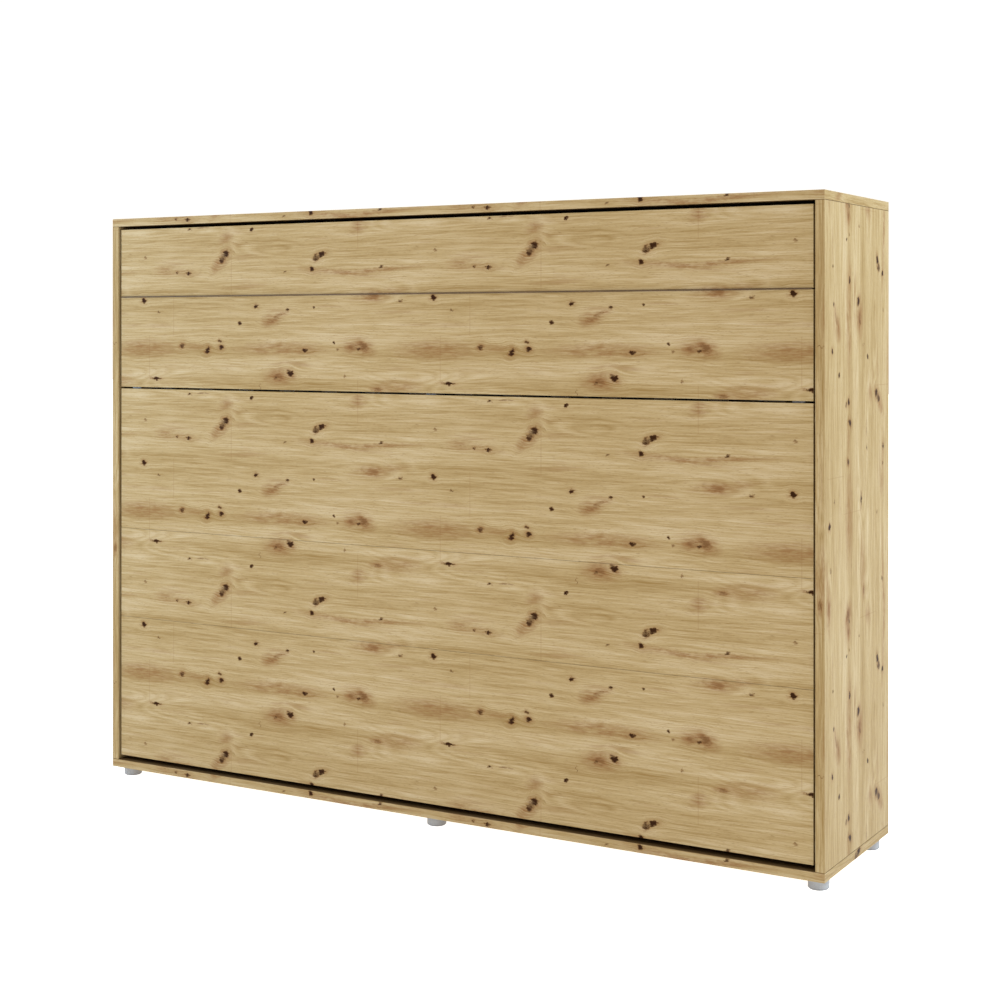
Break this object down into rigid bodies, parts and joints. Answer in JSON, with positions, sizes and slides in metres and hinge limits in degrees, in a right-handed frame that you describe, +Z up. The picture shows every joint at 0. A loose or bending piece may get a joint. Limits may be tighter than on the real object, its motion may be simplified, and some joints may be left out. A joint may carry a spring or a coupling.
{
  "type": "murphy wall bed",
  "caption": "Horizontal wall bed: a knotty-oak cabinet on low feet whose whole plank front folds down as a double bed, with a flap leg, gas struts and strapped mattress.",
  "frame": {"origin": "on the floor under the middle of the cabinet, at mid depth", "axes": "+X along the cabinet to the right of somebody facing it, +Y from the room to the wall, +Z up"},
  "size_m": [2.11, 0.457, 1.578],
  "materials": {
    "oak_decor": "matt oak-decor laminate with fine grain and small knots",
    "hardboard": "smooth hardboard",
    "white_plastic": "matt",
    "beech": "sanded beech",
    "zinc_steel": "zinc plated",
    "foot_plastic": "moulded light grey",
    "black_plastic": "moulded black",
    "rubber": "matt black rubber",
    "frame_paint": "light grey powder coat",
    "bronze_steel": "burnished bronze",
    "chrome_bar": "polished",
    "strut_paint": "satin black",
    "mattress_fabric": "quilted knitted ticking",
    "webbing": "woven webbing"
  },
  "bodies": {
    "cabinet": {"bottom_panel": "oak_decor", "top_panel": "oak_decor", "side_panel_left": "oak_decor", "side_panel_right": "oak_decor", "back_panel_left": "hardboard", "back_panel_right": "hardboard", "back_joint_strip": "white_plastic", "rear_rail_bottom": "oak_decor", "rear_rail_top": "oak_decor", "wooden_dowels": "beech", "cam_locks": "zinc_steel", "cam_bolts": "zinc_steel", "feet": "foot_plastic", "foot_screws": "zinc_steel", "wall_brackets": "zinc_steel", "hardware_screws": "zinc_steel", "pivot_plates": "zinc_steel", "pivot_bushes": "black_plastic", "strut_anchors": "zinc_steel", "strut_clips_cabinet": "zinc_steel", "closing_bumpers": "rubber", "bumper_brackets": "zinc_steel"},
    "bed": {"front_board_lower": "oak_decor", "front_board_middle": "oak_decor", "front_board_upper": "oak_decor", "front_board_top": "oak_decor", "board_screws": "zinc_steel", "frame_tube_left": "frame_paint", "frame_tube_middle": "frame_paint", "frame_tube_right": "frame_paint", "tube_end_caps": "black_plastic", "frame_rail_lower": "frame_paint", "frame_rail_middle": "frame_paint", "frame_rail_upper": "frame_paint", "frame_bolts": "zinc_steel", "frame_nuts": "zinc_steel", "bed_pivot_brackets": "zinc_steel", "strut_studs": "zinc_steel", "strut_clips_bed": "zinc_steel", "slats": "beech", "slat_holders": "black_plastic", "mattress": "mattress_fabric", "mattress_straps": "webbing", "strap_buckles": "black_plastic", "mattress_retainers": "chrome_bar", "hinge_leaf_bed": "bronze_steel", "hinge_pin": "bronze_steel", "hinge_screws_bed": "zinc_steel"},
    "leg": {"leg_board": "oak_decor", "leg_glides": "foot_plastic", "leg_brackets": "zinc_steel", "leg_screws": "zinc_steel", "hinge_leaf_leg": "bronze_steel"},
    "strut_cylinder_left": {"strut_cylinder_left": "strut_paint"},
    "strut_cylinder_right": {"strut_cylinder_right": "strut_paint"},
    "strut_rod_left": {"strut_rod_left": "chrome_bar"},
    "strut_rod_right": {"strut_rod_right": "chrome_bar"},
    "leg_stay_left": {"leg_stay_left": "zinc_steel"},
    "leg_stay_right": {"leg_stay_right": "zinc_steel"}
  },
  "joints": [
    {"name": "bed_fold", "type": "hinge", "parent": "cabinet", "child": "bed", "pos_m": [0, -0.1855, 0.2943], "axis": [1, 0, 0], "range_deg": [0, 90]},
    {"name": "leg_fold", "type": "hinge", "parent": "bed", "child": "leg", "pos_m": [0, -0.2253, 1.357], "axis": [-1, 0, 0], "range_deg": [0, 90]},
    {"name": "strut_cylinder_swing_left", "type": "hinge", "parent": "cabinet", "child": "strut_cylinder_left", "pos_m": [-1.0165, -0.13228, 0.50777], "axis": [1, 0, 0], "range_deg": [0, 45]},
    {"name": "strut_rod_swing_left", "type": "hinge", "parent": "bed", "child": "strut_rod_left", "pos_m": [-1.0165, -0.1855, 0.0743], "axis": [-1, 0, 0], "range_deg": [0, 45]},
    {"name": "leg_stay_swing_left", "type": "hinge", "parent": "leg", "child": "leg_stay_left", "pos_m": [-1.005, -0.19726, 1.23929], "axis": [1, 0, 0], "range_deg": [0, 45]},
    {"name": "strut_cylinder_swing_right", "type": "hinge", "parent": "cabinet", "child": "strut_cylinder_right", "pos_m": [1.0165, -0.13228, 0.50777], "axis": [1, 0, 0], "range_deg": [0, 45]},
    {"name": "strut_rod_swing_right", "type": "hinge", "parent": "bed", "child": "strut_rod_right", "pos_m": [1.0165, -0.1855, 0.0743], "axis": [-1, 0, 0], "range_deg": [0, 45]},
    {"name": "leg_stay_swing_right", "type": "hinge", "parent": "leg", "child": "leg_stay_right", "pos_m": [1.005, -0.19726, 1.23929], "axis": [1, 0, 0], "range_deg": [0, 45]}
  ],
  "couplings": [
    {"joint": "strut_cylinder_swing_left", "follows": "bed_fold", "ratio": 0.5},
    {"joint": "strut_rod_swing_left", "follows": "bed_fold", "ratio": 0.5},
    {"joint": "leg_stay_swing_left", "follows": "leg_fold", "ratio": 0.5},
    {"joint": "strut_cylinder_swing_right", "follows": "bed_fold", "ratio": 0.5},
    {"joint": "strut_rod_swing_right", "follows": "bed_fold", "ratio": 0.5},
    {"joint": "leg_stay_swing_right", "follows": "leg_fold", "ratio": 0.5}
  ]
}
